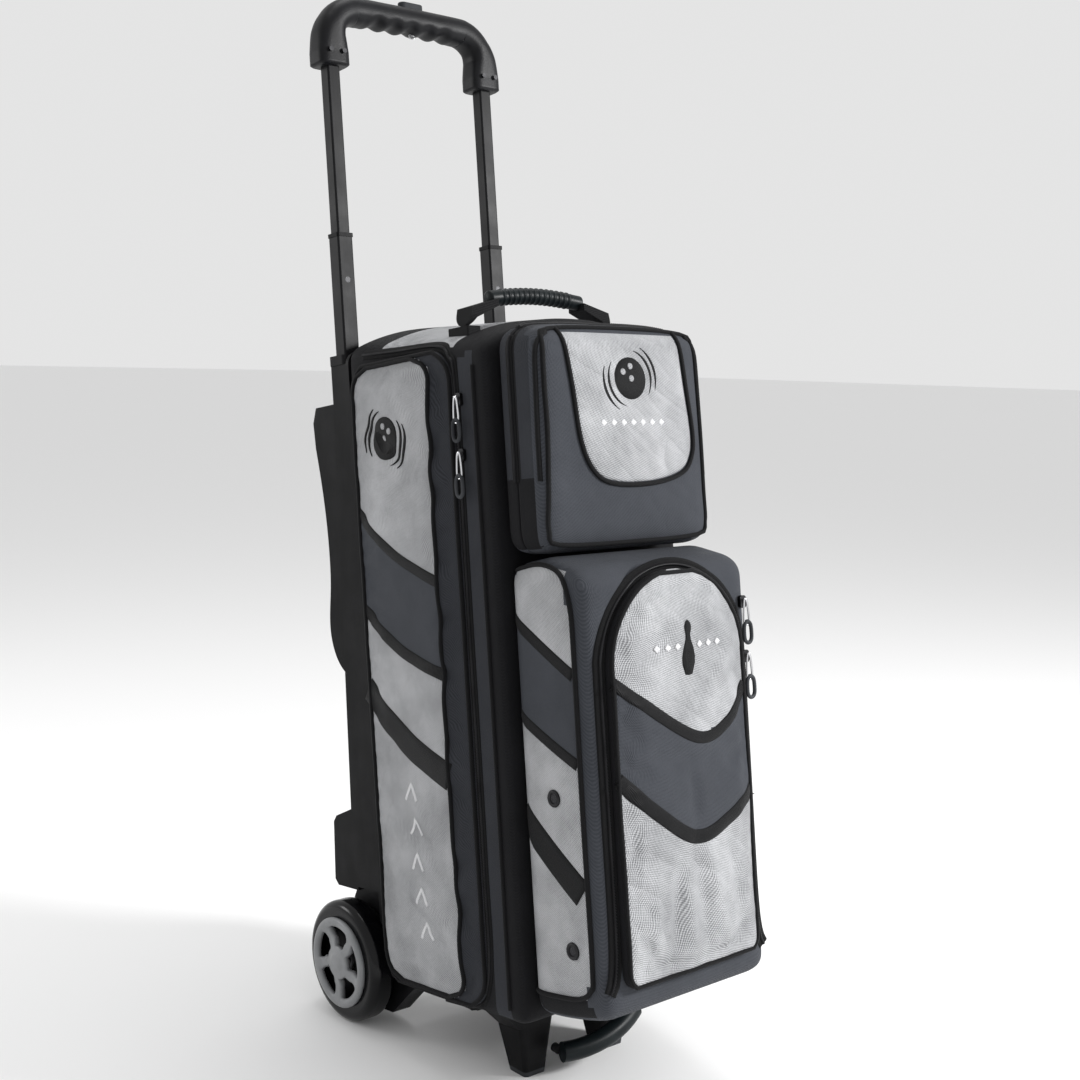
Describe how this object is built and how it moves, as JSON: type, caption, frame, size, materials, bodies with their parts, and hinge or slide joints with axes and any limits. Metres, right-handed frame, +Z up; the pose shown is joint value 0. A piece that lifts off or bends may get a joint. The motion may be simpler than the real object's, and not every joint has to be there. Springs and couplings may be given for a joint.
{
  "type": "rolling bowling bag",
  "caption": "Upright wheeled bag for three bowling balls, with a padded side door, front shoe and accessory pockets, carry handles and a telescoping pole handle.",
  "frame": {"origin": "on the floor, at the middle of the standing bag's bounding box", "axes": "+Z up, -Y the way the pockets face, +X the bag's left as its user stands in front of it looking at the pockets' right edge, so the side door faces -X"},
  "size_m": [0.276, 0.5077, 1.0814],
  "materials": {
    "silver_fabric": "woven nylon, light silver grey",
    "charcoal_fabric": "woven nylon, charcoal grey",
    "lining_foam": "foam padding covered with black lining cloth",
    "black_webbing": "woven black webbing",
    "black_plastic": "fine-textured black moulding",
    "grey_plastic": "satin mid-grey moulding",
    "black_rubber": "satin black rubber",
    "tyre_rubber": "glossy black urethane",
    "steel": "bright zinc-plated steel",
    "black_tube": "satin black coated aluminium",
    "chrome_wire": "bright plated wire"
  },
  "bodies": {
    "bag": {"body_shell": "charcoal_fabric", "base_tray": "black_plastic", "ball_rings": "lining_foam", "right_side_panel": "silver_fabric", "accessory_pocket": "charcoal_fabric", "shoe_pocket": "silver_fabric", "vent_eyelets": "steel", "back_board": "black_plastic", "side_rail_left": "black_plastic", "side_rail_right": "black_plastic", "wheel_bracket_left": "black_plastic", "wheel_bracket_right": "black_plastic", "bracket_bolts": "steel", "upper_skids": "black_plastic", "lower_skids": "black_plastic", "axle": "steel", "axle_nuts": "steel", "front_leg_left": "black_plastic", "front_leg_right": "black_plastic", "foot_pads": "black_rubber", "outer_tube_left": "black_tube", "outer_tube_right": "black_tube", "pole_bezels": "black_plastic", "carry_anchors": "black_webbing", "side_zip_sliders": "chrome_wire", "shoe_zip_sliders": "chrome_wire", "accessory_zip_slider": "chrome_wire"},
    "wheel_left": {"tyre_left": "tyre_rubber", "hub_left": "grey_plastic", "wheel_bearings_left": "steel"},
    "wheel_right": {"tyre_right": "tyre_rubber", "hub_right": "grey_plastic", "wheel_bearings_right": "steel"},
    "middle_stage": {"middle_tube_left": "black_tube", "middle_tube_right": "black_tube", "middle_collars": "black_plastic", "lock_pins": "steel"},
    "grip_stage": {"inner_tube_left": "black_tube", "inner_tube_right": "black_tube", "grip_front_half": "black_plastic", "grip_back_half": "black_plastic", "grip_screws": "steel", "button_spring": "steel"},
    "release": {"release_button": "grey_plastic", "release_bar": "steel", "release_rods": "steel"},
    "side_door": {"side_door_shell": "silver_fabric", "side_door_pad": "lining_foam"},
    "accessory_flap": {"accessory_lid": "charcoal_fabric"},
    "shoe_door": {"shoe_door_shell": "silver_fabric", "shoe_door_pad": "lining_foam"},
    "carry_handle": {"carry_grip": "black_rubber", "carry_webbing": "black_webbing"},
    "lift_handle": {"lift_sleeve": "black_rubber", "lift_webbing": "black_webbing"},
    "side_pull_upper": {"side_zip_pull_upper": "chrome_wire"},
    "side_pull_lower": {"side_zip_pull_lower": "chrome_wire"},
    "shoe_pull_upper": {"shoe_zip_pull_upper": "chrome_wire"},
    "shoe_pull_lower": {"shoe_zip_pull_lower": "chrome_wire"},
    "accessory_pull": {"accessory_zip_pull": "chrome_wire"}
  },
  "joints": [
    {"name": "wheel_left_spin", "type": "hinge", "parent": "bag", "child": "wheel_left", "pos_m": [-0.123, 0.1325, 0.0635], "axis": [1, 0, 0], "continuous": true},
    {"name": "wheel_right_spin", "type": "hinge", "parent": "bag", "child": "wheel_right", "pos_m": [0.123, 0.1325, 0.0635], "axis": [1, 0, 0], "continuous": true},
    {"name": "middle_stage_slide", "type": "slide", "parent": "bag", "child": "middle_stage", "axis": [0, 0.1305, 0.9914], "range_m": [-0.115, 0]},
    {"name": "grip_stage_slide", "type": "slide", "parent": "middle_stage", "child": "grip_stage", "axis": [0, 0.1305, 0.9914], "range_m": [-0.16, 0]},
    {"name": "release_press", "type": "slide", "parent": "grip_stage", "child": "release", "axis": [0, -0.1305, -0.9914], "range_m": [0, 0.0025], "stiffness_N_per_m": 800, "springref_m": -0.0025, "deforming": ["button_spring"]},
    {"name": "side_door_hinge", "type": "hinge", "parent": "bag", "child": "side_door", "pos_m": [-0.118, 0.10539, 0.37621], "axis": [0, -0.1305, -0.9914], "range_deg": [0, 62]},
    {"name": "accessory_flap_hinge", "type": "hinge", "parent": "bag", "child": "accessory_flap", "pos_m": [0, -0.14264, 0.5884], "axis": [1, 0, 0], "range_deg": [0, 110]},
    {"name": "shoe_door_hinge", "type": "hinge", "parent": "bag", "child": "shoe_door", "pos_m": [0, -0.24375, 0.14753], "axis": [1, 0, 0], "range_deg": [0, 88]},
    {"name": "carry_handle_hinge", "type": "hinge", "parent": "bag", "child": "carry_handle", "pos_m": [0, 0.00179, 0.74086], "axis": [1, 0, 0], "range_deg": [-50, 50]},
    {"name": "lift_handle_hinge", "type": "hinge", "parent": "bag", "child": "lift_handle", "pos_m": [0.0215, -0.09668, 0.0503], "axis": [-0.9067, 0.054, -0.4183], "range_deg": [0, 40]},
    {"name": "side_pull_upper_swing", "type": "hinge", "parent": "bag", "child": "side_pull_upper", "pos_m": [-0.123, -0.03257, 0.66368], "axis": [0, 0.9914, -0.1305], "range_deg": [0, 120]},
    {"name": "side_pull_lower_swing", "type": "hinge", "parent": "bag", "child": "side_pull_lower", "pos_m": [-0.123, -0.03936, 0.61213], "axis": [0, 0.9914, -0.1305], "range_deg": [0, 120]},
    {"name": "shoe_pull_upper_swing", "type": "hinge", "parent": "bag", "child": "shoe_pull_upper", "pos_m": [0.094, -0.2052, 0.47863], "axis": [-1, 0, 0], "range_deg": [0, 120]},
    {"name": "shoe_pull_lower_swing", "type": "hinge", "parent": "bag", "child": "shoe_pull_lower", "pos_m": [0.094, -0.21199, 0.42708], "axis": [-1, 0, 0], "range_deg": [0, 120]},
    {"name": "accessory_pull_swing", "type": "hinge", "parent": "bag", "child": "accessory_pull", "pos_m": [0.113, -0.09253, 0.63728], "axis": [0, -0.9914, 0.1305], "range_deg": [0, 120]}
  ]
}
